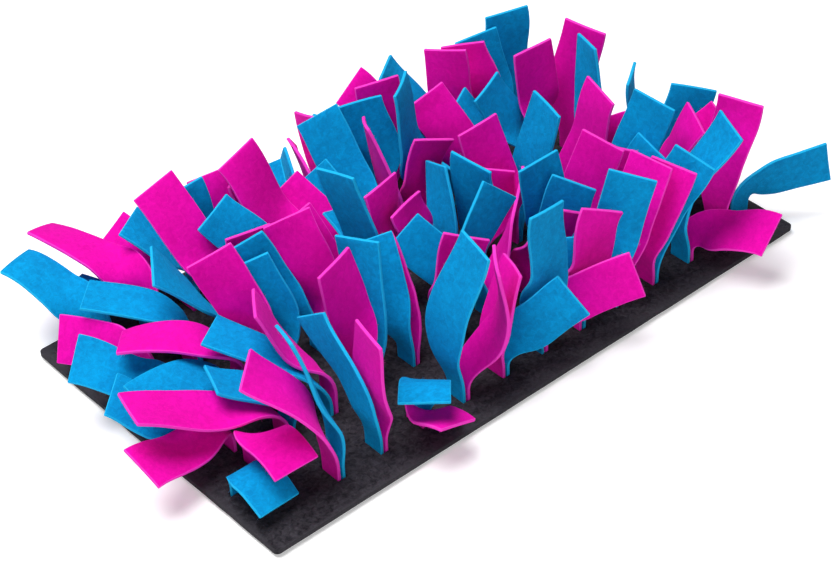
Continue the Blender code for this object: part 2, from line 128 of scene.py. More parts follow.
# Pockets for food between the two ends of a strip, as (row, strip) counted from zero.
POCKETS = (
    (0, 4), (0, 8), (1, 1), (1, 4), (1, 8), (2, 2),
    (2, 5), (2, 8), (3, 1), (3, 7), (4, 2), (4, 9),
)
POCKET_INSET = 10.0
POCKET_DEPTH = 14.0
POCKET_LOW = 5.8
POCKET_TOP = 20.0

# Room kept round each tail, so that no strip cuts another.
CELL = 1.0
ROOM_RADIUS = 3
ROOM_LOW = (-270.0, -200.0, 0.0)
ROOM_SIZE = (540, 400, 140)
ROOT_CLEAR = 18.0
LOWEST_TAIL = 6.8
START_SECTIONS = 4
START_STEP = 2.0
PLY_GAP = 2.8
TRIES = 700
RESTARTS = 60
POSE_SPREAD = (60.0, 30.0, 30.0, 70.0)
MORE_LEAN = 22.0
SEED = 11

# One letter per strip, from the left: M magenta, B blue.
ROW_COLOURS = ("MBMBMBMBMBM", "MBMBMBMBMBM", "BMBMBMBMBMB", "MBMBMBMBMBM", "BMBMBMBMBMB")
EDGE_COLOUR = "B"

Tail = namedtuple("Tail", "heading lean curl turn length least", defaults=(60.0,))

# Tails by row, then by hole, then by ply: L belongs to the strip that runs to the left, R to the
# one that runs to the right. heading: compass of the lean, 0 to +X and 90 to the back.
# lean: tilt once it is clear of the hole. curl: more tilt by the tip. turn: face turned about
# the tail's own length. length: from the drawn-in root to the tip. least: the most that the face
# turns clockwise on its way up from the slot, in a half circle.
FRONT_ROW = {
    (0, "R"): Tail(268, 44, 80, 0, 60),
    (1, "L"): Tail(140, 24, 20, -5, 86), (1, "R"): Tail(135, 24, 16, -2, 88),
    (2, "L"): Tail(135, 14, 5, 80, 94), (2, "R"): Tail(190, 14, -14, 10, 76),
    (3, "L"): Tail(275, 72, 20, 0, 46), (3, "R"): Tail(228, 28, 70, 0, 56),
    (4, "L"): Tail(330, 10, 4, -40, 102), (4, "R"): Tail(315, 26, -30, -15, 90),
    (5, "L"): Tail(322, 12, 15, 60, 74), (5, "R"): Tail(330, 38, 4, -78, 64),
    (6, "L"): Tail(330, 8, 0, 60, 94), (6, "R"): Tail(328, 46, 20, 60, 74),
    (7, "L"): Tail(330, 14, 10, 60, 78), (7, "R"): Tail(322, 16, 6, 60, 72),
    (8, "L"): Tail(338, 12, 4, -60, 84), (8, "R"): Tail(0, 24, 4, -10, 86),
    (9, "L"): Tail(330, 18, -4, -30, 78), (9, "R"): Tail(330, 16, 5, -60, 82),
    (10, "L"): Tail(325, 20, 5, 0, 96), (10, "R"): Tail(336, 56, 36, 12, 68),
    (11, "L"): Tail(325, 12, -10, -40, 92),
}
SECOND_ROW = {
    (0, "R"): Tail(152, 74, 10, 0, 75),
    (1, "L"): Tail(160, 84, 8, 10, 100), (1, "R"): Tail(160, 68, 10, 0, 64),
    (2, "L"): Tail(150, 76, 8, 0, 82), (2, "R"): Tail(140, 50, 5, 20, 82),
    (3, "L"): Tail(140, 6, 4, 60, 84), (3, "R"): Tail(150, 4, 2, 80, 90),
    (4, "L"): Tail(140, 16, 0, 50, 86), (4, "R"): Tail(135, 8, 5, 85, 78),
    (5, "L"): Tail(320, 14, 8, 60, 70), (5, "R"): Tail(322, 16, 0, -40, 100),
    (6, "L"): Tail(136, 42, 0, 70, 72), (6, "R"): Tail(325, 52, 10, 60, 82),
    (7, "L"): Tail(300, 30, 8, 45, 70), (7, "R"): Tail(320, 24, 0, -80, 72),
    (8, "L"): Tail(140, 8, 0, 80, 76), (8, "R"): Tail(322, 16, 0, -60, 84),
    (9, "L"): Tail(322, 14, 0, -60, 72), (9, "R"): Tail(318, 28, 5, -50, 68),
    (10, "L"): Tail(320, 6, 0, -62, 92), (10, "R"): Tail(322, 30, 5, 5, 76),
    (11, "L"): Tail(315, 32, 10, -40, 70),
}
MIDDLE_ROW = {
    (0, "R"): Tail(128, 74, 12, 10, 78),
    (1, "L"): Tail(154, 70, 20, 0, 84), (1, "R"): Tail(140, 62, 52, 0, 88),
    (2, "L"): Tail(135, 22, 0, 75, 84), (2, "R"): Tail(135, 16, 0, 80, 70),
    (3, "L"): Tail(135, 35, 0, 70, 80), (3, "R"): Tail(110, 20, 0, 60, 80),
    (4, "L"): Tail(135, 32, 0, 60, 78), (4, "R"): Tail(130, 10, 0, -55, 100),
    (5, "L"): Tail(140, 40, 0, 0, 74), (5, "R"): Tail(133, 12, 0, -45, 80),
    (6, "L"): Tail(140, 35, 0, 40, 64), (6, "R"): Tail(60, 25, 0, 60, 64),
    (7, "L"): Tail(135, 15, 0, 80, 72), (7, "R"): Tail(315, 20, 0, 60, 64),
    (8, "L"): Tail(120, 14, 0, 50, 78), (8, "R"): Tail(322, 13, 0, -38, 88),
    (9, "L"): Tail(180, 30, 10, 0, 64), (9, "R"): Tail(323, 22, 0, -40, 86),
    (10, "L"): Tail(325, 6, 0, 5, 100), (10, "R"): Tail(60, 10, 0, 60, 96),
    (11, "L"): Tail(320, 8, 0, 5, 72),
}
FOURTH_ROW = {
    (0, "R"): Tail(125, 80, 12, 50, 62),
    (1, "L"): Tail(121, 38, 8, 30, 74), (1, "R"): Tail(134, 66, 14, 0, 80),
    (2, "L"): Tail(130, 34, 0, 10, 76), (2, "R"): Tail(108, 40, 2, 26, 98),
    (3, "L"): Tail(128, 40, 0, 50, 72), (3, "R"): Tail(133, 36, 0, 50, 76),
    (4, "L"): Tail(130, 32, 0, 0, 64), (4, "R"): Tail(120, 38, 0, 12, 96),
    (5, "L"): Tail(130, 45, 0, 50, 64), (5, "R"): Tail(130, 38, 0, 70, 66),
    (6, "L"): Tail(120, 42, 0, 30, 90), (6, "R"): Tail(125, 22, 0, -84, 78),
    (7, "L"): Tail(120, 36, 0, 60, 78), (7, "R"): Tail(126, 14, 0, 10, 96),
    (8, "L"): Tail(133, 32, 0, 0, 72), (8, "R"): Tail(122, 28, 0, 60, 76),
    (9, "L"): Tail(145, 68, 15, 20, 66), (9, "R"): Tail(130, 38, 0, 0, 62),
    (10, "L"): Tail(130, 35, 0, 60, 68), (10, "R"): Tail(130, 6, 0, 60, 80),
    (11, "L"): Tail(320, 8, 0, -70, 86),
}
BACK_ROW = {
    (0, "R"): Tail(112, 52, 38, 15, 74),
    (1, "L"): Tail(150, 84, 8, 20, 58), (1, "R"): Tail(114, 64, 22, 0, 92),
    (2, "L"): Tail(148, 68, 10, 0, 64), (2, "R"): Tail(140, 62, 14, 0, 66),
    (3, "L"): Tail(125, 20, 0, 60, 66), (3, "R"): Tail(110, 20, 0, 40, 64),
    (4, "L"): Tail(130, 34, 0, 0, 64), (4, "R"): Tail(120, 16, 0, 40, 64),
    (5, "L"): Tail(130, 30, 0, 60, 66), (5, "R"): Tail(120, 20, 0, 50, 66),
    (6, "L"): Tail(125, 25, 0, 40, 72), (6, "R"): Tail(125, 15, 0, -60, 64),
    (7, "L"): Tail(125, 15, 0, 60, 72), (7, "R"): Tail(120, 6, 0, 60, 76),
    (8, "L"): Tail(120, 12, 0, 60, 74), (8, "R"): Tail(124, 22, 4, 14, 78),
    (9, "L"): Tail(120, 12, 0, 20, 76), (9, "R"): Tail(124, 10, 0, 80, 72),
    (10, "L"): Tail(125, 12, 0, 80, 70), (10, "R"): Tail(130, 14, 0, 50, 70),
    (11, "L"): Tail(125, 9, 0, 74, 78),
}
ROWS = (FRONT_ROW, SECOND_ROW, MIDDLE_ROW, FOURTH_ROW, BACK_ROW)
ROW_NAMES = ("front", "second", "middle", "fourth", "back")
EDGE_TAILS = {
    "left": (Tail(272, 82, 40, 0, 42), Tail(100, 50, 10, 0, 50)),
    "right": (Tail(331, 78, 2, 80, 66), Tail(335, 10, 0, -80, 62)),
}
# Tails laid before the others, in this order.
LAID_FIRST = (
    (3, 4, "R"), (3, 3, "R"), (3, 4, "L"), (2, 8, "L"), (0, 6, "L"), (0, 7, "L"), (1, 7, "L"),
    (0, 2, "R"), (0, 3, "R"), (4, 0, "R"), (4, 1, "R"), (4, 2, "L"), (0, 11, "L"), (0, 3, "L"),
    (0, 10, "R"), (0, 8, "L"), (0, 7, "R"), ("left", 0), ("right", 0), (0, 1, "L"),
    (0, 1, "R"), (0, 0, "R"), (0, 2, "L"), (0, 4, "L"), (0, 4, "R"), (0, 5, "L"), (0, 5, "R"),
    (0, 6, "R"), (0, 10, "L"), (0, 9, "L"), (0, 9, "R"), (0, 8, "R"), (4, 7, "R"),
    (3, 0, "R"), (2, 0, "R"), (1, 0, "R"), (3, 2, "R"), (4, 2, "R"), (4, 1, "L"),
    (2, 1, "R"), (1, 1, "L"), (4, 8, "R"), (4, 11, "L"), (3, 11, "L"), (4, 8, "L"),
    (4, 7, "L"), (3, 8, "R"), (3, 9, "L"), (3, 9, "R"), (1, 7, "R"), (2, 10, "R"),
    ("right", 1), (4, 9, "R"), (4, 9, "L"), (3, 1, "R"), (3, 1, "L"), (3, 7, "R"),
)


def ease(share):
    """Smooth step from 0 to 1 for shares from 0 to 1."""
    share = np.clip(share, 0.0, 1.0)
    return share * share * (3.0 - 2.0 * share)


def hole_centre(row, hole):
    """Middle of a slot of the rows."""
    y = FIRST_HOLE_Y[row] if hole == 0 else ROW_Y[row]
    return FIRST_HOLE_X + HOLE_PITCH * hole, y


def parting_of(key):
    """How far a tail moves along X, away from the other ply of its hole."""
    if key[0] in EDGE_SLOT_Y or key[1] in (0, LAST_HOLE):
        return 0.0
    return PARTING if key[2] == "R" else -PARTING


def root_of(key):
    """(x, y, compass of the slot's long side) where a tail leaves the base."""
    if key[0] in EDGE_SLOT_Y:
        side = -1.0 if key[0] == "left" else 1.0
        return side * EDGE_SLOT_X, EDGE_SLOT_Y[key[0]][key[1]], 0.0
    row, hole, ply = key
    x, y = hole_centre(row, hole)
    return x + (PLY_OFFSET if ply == "R" else -PLY_OFFSET), y, 90.0


def give_of(key):
    """(sway, flare) of a tail: its slight double bend and its last twist, each its own."""
    random = np.random.default_rng([SEED, *(ord(letter) for letter in str(key))])
    return random.uniform(-1.0, 1.0, 2) * (MOST_SWAY, MOST_FLARE)


def tail_sections(key, tail, shares):
    """Middle, half-width vector and face normal of a tail at each share of its length."""
    x, y, slot = root_of(key)
    sway, flare = give_of(key)
    fine = np.linspace(0.0, 1.0, 101)
    tilt = tail.lean * ease(fine / BEND_SHARE) + tail.curl * fine**2
    tilt = np.radians(tilt - sway * np.sin(2 * math.pi * fine))
    step = (tilt[1:] + tilt[:-1]) / 2
    out = np.concatenate([[0.0], np.cumsum(np.sin(step))]) * tail.length / 100
    up = np.concatenate([[0.0], np.cumsum(np.cos(step))]) * tail.length / 100
    out, up, tilt = (np.interp(shares, fine, line) for line in (out, up, tilt))
    heading = math.radians(tail.heading)
    ahead = np.array([math.cos(heading), math.sin(heading), 0.0])
    across = np.array([-math.sin(heading), math.cos(heading), 0.0])
    rise = np.array([0.0, 0.0, 1.0])
    middle = np.array([x, y, ROOT_TOP]) + np.outer(out, ahead) + np.outer(up, rise)
    middle[:, 0] += parting_of(key) * ease(shares / PARTING_SHARE)
    along = np.outer(np.sin(tilt), ahead) + np.outer(np.cos(tilt), rise)
    over = np.outer(np.cos(tilt), ahead) - np.outer(np.sin(tilt), rise)
    twist = (tail.heading + 90.0 - slot - tail.turn + tail.least) % 180.0 - tail.least
    start = tail.turn + twist
    turn = start + (tail.turn - start) * ease(shares / TWIST_SHARE) + flare * shares**2
    turn = np.radians(turn)[:, None]
    wide = across * np.cos(turn) + over * np.sin(turn)
    side = np.array([math.cos(math.radians(slot)), math.sin(math.radians(slot)), 0.0])
    wide = wide * math.copysign(1.0, wide[0] @ side)
    half = (DRAWN_WIDTH + (STRIP_WIDTH - DRAWN_WIDTH) * ease(shares / WIDEN_SHARE)) / 2
    return middle, wide * half[:, None], np.cross(wide, along)


def facet_points(middle, half, step):
    """Points about a step apart over the two triangles between each pair of sections of a tail."""
    wide = np.linspace(0.0, 1.0, int(STRIP_WIDTH / step) + 2)[:, None, None]
    points = []
    for near, far in zip(range(len(middle) - 1), range(1, len(middle))):
        length = np.linalg.norm(middle[far] - middle[near])
        long = np.linspace(0.0, 1.0, int(1.2 * length / step) + 2)[None, :, None]
        start, end = middle[near] - half[near], middle[far] - half[far]
        beside = start + 2 * half[near] * wide + (end + 2 * half[far] - start - 2 * half[near]) * long
        above = start + (end - start) * long + 2 * half[far] * wide
        points.append(np.where(long <= wide, beside, above).reshape(-1, 3))
    return np.concatenate(points)


def cells_of(points):
    """Number of the room's cell that holds each point."""
    place = ((points - np.array(ROOM_LOW)) / CELL).astype(int)
    place = np.clip(place, 0, np.array(ROOM_SIZE) - 1)
    return (place[:, 0] * ROOM_SIZE[1] + place[:, 1]) * ROOM_SIZE[2] + place[:, 2]


def thick_cells(points):
    """Cells within the kept radius of any of the points."""
    reach = np.arange(-ROOM_RADIUS, ROOM_RADIUS + 1)
    ball = np.stack(np.meshgrid(reach, reach, reach), axis=-1).reshape(-1, 3)
    ball = ball[(ball**2).sum(axis=1) <= (ROOM_RADIUS + 0.3) ** 2] * CELL
    return np.unique(np.concatenate([cells_of(points + step) for step in ball]))


def root_cells(key):
    """Cells round the upright root of a tail, kept clear for it."""
    x, y, slot = root_of(key)
    side = np.array([math.cos(math.radians(slot)), math.sin(math.radians(slot)), 0.0])
    middle = np.array([[x, y, BASE_LIFT + BASE_THICK], [x, y, ROOT_TOP + ROOT_CLEAR]])
    return thick_cells(facet_points(middle, np.array([side, side]) * DRAWN_WIDTH / 2, CELL))


def pocket_box(row, strip):
    """Lowest and highest corner of the pocket above the middle of a strip."""
    near, y = hole_centre(row, strip)
    far = hole_centre(row, strip + 1)[0]
    low = np.array([near + POCKET_INSET, y - POCKET_DEPTH / 2, POCKET_LOW])
    high = np.array([far - POCKET_INSET, y + POCKET_DEPTH / 2, POCKET_TOP])
    return low, high


def pocket_cells(row, strip):
    """Cells of a pocket and of half a strip's thickness round it."""
    low, high = pocket_box(row, strip)
    lines = [np.arange(a - STRIP_THICK, b + STRIP_THICK, CELL) for a, b in zip(low, high)]
    return np.unique(cells_of(np.stack(np.meshgrid(*lines), axis=-1).reshape(-1, 3)))


def start_points(middle, half):
    """Points over the start of a tail, where the other ply of its hole is close."""
    return facet_points(middle[:START_SECTIONS], half[:START_SECTIONS], START_STEP)


def is_clear(middle, half, room, other_start):
    """Whether a tail keeps off the base, the laid tails and the other ply of its hole."""
    points = facet_points(middle, half, CELL)
    if points[:, 2].min() < LOWEST_TAIL or room[cells_of(points)].any():
        return False
    if other_start is None:
        return True
    points = facet_points(middle, half, START_STEP)
    apart = np.linalg.norm(points[:, None] - other_start[None], axis=2)
    return apart.min() > PLY_GAP


def poses_near(tail, outward, key):
    """The tail's own pose, then poses further from it, then shorter and more upright ones."""
    yield tail
    yield tail._replace(least=120.0)
    random = np.random.default_rng([SEED, *(ord(letter) for letter in str(key))])
    upright = Tail(outward, 14.0, 0.0, 0.0, 0.75 * tail.length)
    short = Tail(outward, 10.0, 0.0, 0.0, 0.5 * tail.length)
    for wanted, spread in ((tail, 1.0), (upright, 0.6), (short, 0.6)):
        for step in range(TRIES):
            reach = spread * ((step + 1) / TRIES) ** 1.4
            heading, lean, curl, turn = random.normal(size=4) * POSE_SPREAD * reach
            yield Tail(
                heading=wanted.heading + heading,
                lean=min(max(wanted.lean + lean, 0.0), wanted.lean + MORE_LEAN, 84.0),
                curl=wanted.curl + curl,
                turn=wanted.turn + turn,
                length=wanted.length * (1.0 - 0.45 * reach * random.random()),
                least=random.choice((60.0, 120.0)),
            )


def other_ply(key):
    """The tail that shares the hole of this one, where there is one."""
    if key[0] in EDGE_SLOT_Y:
        return None
    return (key[0], key[1], "L" if key[2] == "R" else "R")


def wanted_tails():
    """Every tail of the tables, by its key: row, hole and ply, or side and end."""
    wanted = {(row, *place): tail for row, tails in enumerate(ROWS) for place, tail in tails.items()}
    for side, pair in EDGE_TAILS.items():
        wanted.update({(side, end): tail for end, tail in enumerate(pair)})
    return wanted


def lay_in_order(wanted, order):
    """Poses of the tails, laid one after the other, and the first one that finds no room."""
    room = np.zeros(ROOM_SIZE[0] * ROOM_SIZE[1] * ROOM_SIZE[2], np.int8)
    roots = {key: root_cells(key) for key in wanted}
    for cells in (*roots.values(), *(pocket_cells(*place) for place in POCKETS)):
        room[cells] += 1
    laid, starts, start_cells = {}, {}, {}
    for key in order:
        other = other_ply(key)
        shared = [roots[key], roots.get(other), start_cells.get(other)]
        shared = [cells for cells in shared if cells is not None]
        for cells in shared:
            room[cells] -= 1
        for tail in poses_near(wanted[key], 0.0 if parting_of(key) > 0.0 else 180.0, key):
            middle, half, _ = tail_sections(key, tail, np.array(SECTIONS))
            if is_clear(middle, half, room, starts.get(other)):
                break
        else:
            return laid, key
        for cells in shared:
            room[cells] += 1
        laid[key] = tail
        starts[key] = start_points(middle, half)
        start_cells[key] = thick_cells(starts[key])
        rest = facet_points(middle[START_SECTIONS - 1 :], half[START_SECTIONS - 1 :], CELL)
        room[start_cells[key]] += 1
        room[thick_cells(rest)] += 1
    return laid, None


def lay_tails():
    """Pose of every tail: the one in the tables, or the nearest that clears the others.

    A tail that finds no room goes to the head of the order, and the laying starts again.
    """
    wanted = wanted_tails()
    order = [*LAID_FIRST, *(key for key in wanted if key not in LAID_FIRST)]
    for _ in range(RESTARTS):
        laid, stuck = lay_in_order(wanted, order)
        if stuck is None:
            return laid
        order.remove(stuck)
        order.insert(0, stuck)
    raise ValueError("the tails find no room")


def strip_ends(row, strip):
    """Keys of the two tails of a strip of the rows."""
    return (row, strip, "R"), (row, strip + 1, "L")


# ---- looks ----

# Strips: sections along them and points round each section.
STEP_LONG = 3.0
STEPS_ACROSS = 8
EDGE_ROUNDING = 0.55
ROUND_STEPS = 3
TIP_STEPS = 3
TIP_BLUNTNESS = 0.4  # how far the last tip section stops short of a full rounding
SLOT_STEPS = (8.0, 5.4, 3.2)
TURN_STEPS = (0.0, 0.35, 0.7, 1.0)
BRIDGE_SHARES = (0.12, 0.3, 0.5, 0.7, 0.88)

# Unevenness of cut felt: depth and size of its waves. Each strip has its own seed.
CUT_WAVE = 0.35
FACE_WAVE = 0.22
WAVE_SIZE = 17.0
CUP_DEPTH = 1.3
CUP_SIZE = 60.0
CUP_MIDDLE = 0.4  # square of the share of the half width that a cupped face turns about
CUP_RISE = 20.0  # height above the roots over which a strip takes its cup
FACE_SEED = 40.0
CUP_SEED = 9.0
FIRST_SEED = 1.0
SEED_STEP = 1.37

# Base: grid of its faces, then its edge and its waves.
BASE_GRID = 10.0
BASE_EDGE = 0.7
BASE_EDGE_STEPS = 2
SHARPEST_FOLD = 50.0
BASE_WAVE = 0.25
BASE_WAVE_SIZE = 35.0
BASE_WAVE_SEED = 3.0
BASE_CUT_SEED = 5.0
BASE_CUT_REACH = 4.0
# Band along the rim of the base that takes the painted edge highlight, and how much of it.
BASE_RIM = 0.45
BASE_RIM_HIGHLIGHT = 0.8

# Loose fibres that stand off the felt.
FIBRES_PER_STRIP = 440
BASE_FIBRES = 6000
FIBRE_LENGTH = 1.5
FIBRE_RADIUS = 0.028
FIBRE_STEPS = 2
FIBRE_SIDES = 3
FIBRE_SIZES = (0.5, 1.2)
FIBRE_BEND = {
    "Start": (0.0, 0.0, 0.0),
    "Start Handle": (0.0, 0.0, 0.4),
    "End Handle": (0.3, 0.1, 0.6),
    "End": (0.85, 0.0, 0.45),
}

# Felt colours: lit face, deep face, then the painted highlight of the edges.
FELTS = {
    "M": ((0.93, 0.002, 0.47), (0.74, 0.0, 0.34), (1.0, 0.06, 0.62)),
    "B": ((0.0, 0.37, 0.77), (0.0, 0.22, 0.52), (0.015, 0.50, 0.88)),
    "C": ((0.046, 0.042, 0.051), (0.009, 0.008, 0.011), (0.05, 0.047, 0.055)),
}
FELT_NAMES = {"M": "magenta_felt", "B": "blue_felt", "C": "charcoal_felt"}
SHEEN = {"M": 0.35, "B": 0.35, "C": 0.12}
SHEEN_ROUGHNESS = 0.45
GLOSS = 0.12
RELIEF = 0.5
RELIEF_DEPTH = 0.4

# Felt grain: fibres and flecks in features per metre, then the strength of the flecks.
STRIP_GRAIN = (1000.0, 330.0, 0.9)
BASE_GRAIN = (800.0, 320.0, 1.6)
CLOUD_SCALE = 45.0

# Share of each layer of the grain in the colour, and the band of their sum that is used.
FIBRE_SHARE = 0.22
FINE_SHARE = 0.35
CLOUD_SHARE = 0.3
DEEPEST = 0.34
LIGHTEST = 0.60

# Camera, aimed at a spot near the middle of the base.
AIM = (4.2, 12.8, 0.0)
CAMERA_DISTANCE = 1303.7
CAMERA_COMPASS = -39.8
CAMERA_RISE = 38.6
CAMERA_ROLL = -2.5
LENS = 94.5
SENSOR = 36.0

# Floor: half of its side and its drop below the mat in metres, then its shade.
FLOOR_REACH = 4.0
FLOOR_DROP = 0.0002
FLOOR_SHADE = 0.93
FLOOR_ROUGHNESS = 0.9

# Lights: name, place in metres, size in metres, power in watts.
LIGHTS = (
    ("key_light", (-0.35, 0.2, 1.5), 1.1, 29.0),
    ("front_light", (-0.8, -1.4, 1.0), 1.0, 10.0),
)
WORLD_STRENGTH = 0.1  # as light on the mat
SEEN_STRENGTH = 0.9  # as the camera sees it
FLOOR_GLOW = 0.3  # added to the floor that the camera sees
WHITE = (1.0, 1.0, 1.0, 1.0)


def wave(place, size, seed):
    """Smooth random height from -1 to 1 at a place."""
    return noise.noise(Vector(place) / size + Vector((seed, 2.7 * seed, -seed)))


def tail_frames(key, tail):
    """Close sections of a tail from its tip down to the base: middle, half width, normal."""
    shares = np.linspace(1.0, 0.0, int(tail.length / STEP_LONG) + 2)
    return list(zip(*tail_sections(key, tail, shares)))


def slot_frames(key, sign):
    """Sections from a root down through its slot and round on to the bridge."""
    x, y, slot = root_of(key)
    compass = math.radians(slot)
    side = np.array([math.cos(compass), math.sin(compass), 0.0])
    ahead = np.array([math.sin(compass), math.cos(compass), 0.0])
    rise = np.array([0.0, 0.0, 1.0])
    half = side * DRAWN_WIDTH / 2
    out = np.cross(side, rise)
    frames = [(np.array([x, y, height]), half, out) for height in SLOT_STEPS]
    for share in TURN_STEPS:
        angle = share * math.pi / 2
        reach = TURN_REACH * (1.0 - math.cos(angle)) * sign
        height = TURN_HEIGHT - (TURN_HEIGHT - BRIDGE_HEIGHT) * math.sin(angle)
        middle = np.array([x, y, height]) + reach * ahead
        along = -math.cos(angle) * rise + math.sin(angle) * sign * ahead
        frames.append((middle, half, np.cross(along, side)))
    return frames


def strip_frames(keys, laid):
    """Sections of a whole strip, from the tip of one tail to the tip of the other."""
    ways = []
    for key, sign in zip(keys, (1.0, -1.0)):
        ways.append(tail_frames(key, laid[key]) + slot_frames(key, sign))
    near, far = ways[0][-1], ways[1][-1]
    bridge = []
    for share in BRIDGE_SHARES:
        middle = near[0] + (far[0] - near[0]) * share
        width = DRAWN_WIDTH + (BRIDGE_WIDTH - DRAWN_WIDTH) * math.sin(math.pi * share)
        side = near[1] / np.linalg.norm(near[1])
        bridge.append((middle, side * width / 2, near[2]))
    back = [(middle, half, -normal) for middle, half, normal in ways[1][::-1]]
    return ways[0] + bridge + back


def felt_loop(thick, half_width):
    """Points round a felt section: (along the half width from -1 to 1, height, mask of the painted
    edge highlight).
    """
    round_share = EDGE_ROUNDING / half_width
    flat = np.linspace(-1.0 + round_share, 1.0 - round_share, STEPS_ACROSS + 1)
    corner = np.linspace(0.0, math.pi / 2, ROUND_STEPS + 1)[1:]
    top = [(share, thick / 2, 0.0) for share in flat]
    side = []
    for angle in corner:
        share = 1.0 - round_share + round_share * math.sin(angle)
        side.append((share, thick / 2 - EDGE_ROUNDING * (1.0 - math.cos(angle)), 1.0))
    under_side = [(share, -height, mask) for share, height, mask in side[::-1]]
    under = [(share, -height, mask) for share, height, mask in top[::-1]]
    left = [(-share, -height, mask) for share, height, mask in side]
    upper_left = [(share, -height, mask) for share, height, mask in left[::-1]]
    return top + side + under_side + under + left + upper_left


def tip_frames(frame, toward):
    """Last sections of a strip, which round its cut end: (frame, thickness share)."""
    middle, half, normal = frame
    frames = []
    for step in range(TIP_STEPS):
        angle = math.pi / 2 * (step + 1) / (TIP_STEPS + TIP_BLUNTNESS)
        moved = middle + toward * EDGE_ROUNDING * math.sin(angle)
        shrink = 1.0 - EDGE_ROUNDING / np.linalg.norm(half) * (1.0 - math.cos(angle))
        thick = 1.0 - EDGE_ROUNDING * (1.0 - math.cos(angle)) / (STRIP_THICK / 2)
        frames.append(((moved, half * shrink, normal), thick))
    return frames


def end_direction(frames):
    """Way in which the first of some sections looks outwards."""
    way = frames[0][0] - frames[1][0]
    return way / np.linalg.norm(way)


def strip_rings(keys, laid, seed):
    """Rings of points along a strip, with the masks of their painted edge highlight, ready to be
    bridged.
    """
    frames = strip_frames(keys, laid)
    start = tip_frames(frames[0], end_direction(frames))
    finish = tip_frames(frames[-1], end_direction(frames[::-1]))
    whole = start[::-1] + [(frame, 1.0) for frame in frames] + finish
    rings, masks = [], []
    for number, ((middle, half, normal), thick) in enumerate(whole):
        width = np.linalg.norm(half)
        side = half / width
        width += CUT_WAVE * wave(middle, WAVE_SIZE, seed)
        normal = normal / np.linalg.norm(normal)
        free = min(1.0, max(0.0, (middle[2] - ROOT_TOP) / CUP_RISE))
        cup = free * CUP_DEPTH * wave(middle, CUP_SIZE, seed + CUP_SEED)
        ring = []
        for share, height, _ in felt_loop(STRIP_THICK * thick, width):
            place = middle + side * width * share
            lift = FACE_WAVE * wave(place, WAVE_SIZE, seed + FACE_SEED)
            lift += cup * (share * share - CUP_MIDDLE)
            ring.append(place + normal * (height + lift))
        rings.append(ring)
        # The tip sections take the painted edge highlight all round.
        at_tip = number < TIP_STEPS or number >= len(whole) - TIP_STEPS
        masks.append([1.0 if at_tip else mask for _, _, mask in felt_loop(STRIP_THICK, width)])
    return rings, masks


def bridge_rings(shape, rings, masks):
    """Skin rings of points with quads and close both ends."""
    # Mask of the painted edge highlight, kept on each point.
    layer = shape.verts.layers.float.new("painted_edge_highlight")
    lines = []
    for ring, mask in zip(rings, masks):
        line = []
        for place, value in zip(ring, mask):
            vert = shape.verts.new(Vector(place) * MM)
            vert[layer] = value
            line.append(vert)
        lines.append(line)
    for near, far in zip(lines, lines[1:]):
        for spot in range(len(near)):
            after = (spot + 1) % len(near)
            shape.faces.new((near[spot], near[after], far[after], far[spot]))
    shape.faces.new(lines[0][::-1])
    shape.faces.new(lines[-1])
    bmesh.ops.recalc_face_normals(shape, faces=shape.faces)


def new_piece(name, fill):
    """Smooth object whose mesh is made by the given function."""
    mesh = bpy.data.meshes.new(name)
    shape = bmesh.new()
    fill(shape)
    shape.to_mesh(mesh)
    shape.free()
    mesh.shade_smooth()
    piece = bpy.data.objects.new(name, mesh)
    bpy.context.scene.collection.objects.link(piece)
    return piece


def add_input(tree, name, kind, value):
    """Named input of a shader or geometry group."""
    socket = tree.interface.new_socket(name, in_out="INPUT", socket_type=kind)
    socket.default_value = value


def add_node(tree, kind, **settings):
    """Node of a tree, with its settings."""
    node = tree.nodes.new(kind)
    for name, value in settings.items():
        setattr(node, name, value)
    return node


def mix_colours(tree, share, low, high):
    """Colour mix of two sockets by a share."""
    mix = add_node(tree, "ShaderNodeMix", data_type="RGBA")
    tree.links.new(share, mix.inputs["Factor"])
    tree.links.new(low, mix.inputs[6])
    tree.links.new(high, mix.inputs[7])
    return mix.outputs[2]


def work_out(tree, operation, first, second, clamp=False):
    """Math on two values, each a socket or a number."""
    node = add_node(tree, "ShaderNodeMath", operation=operation, use_clamp=clamp)
    for spot, value in enumerate((first, second)):
        if isinstance(value, (int, float)):
            node.inputs[spot].default_value = value
        else:
            tree.links.new(value, node.inputs[spot])
    return node.outputs[0]


def noise_at(tree, place, scale, detail, distortion=0.0, kind="FBM"):
    """Noise value at a place, at a scale in features per metre."""
    node = add_node(tree, "ShaderNodeTexNoise", noise_type=kind)
    tree.links.new(place, node.inputs["Vector"])
    if isinstance(scale, (int, float)):
        node.inputs["Scale"].default_value = scale
    else:
        tree.links.new(scale, node.inputs["Scale"])
    node.inputs["Detail"].default_value = detail
    node.inputs["Roughness"].default_value = 0.6
    node.inputs["Distortion"].default_value = distortion
    return node.outputs["Fac"]


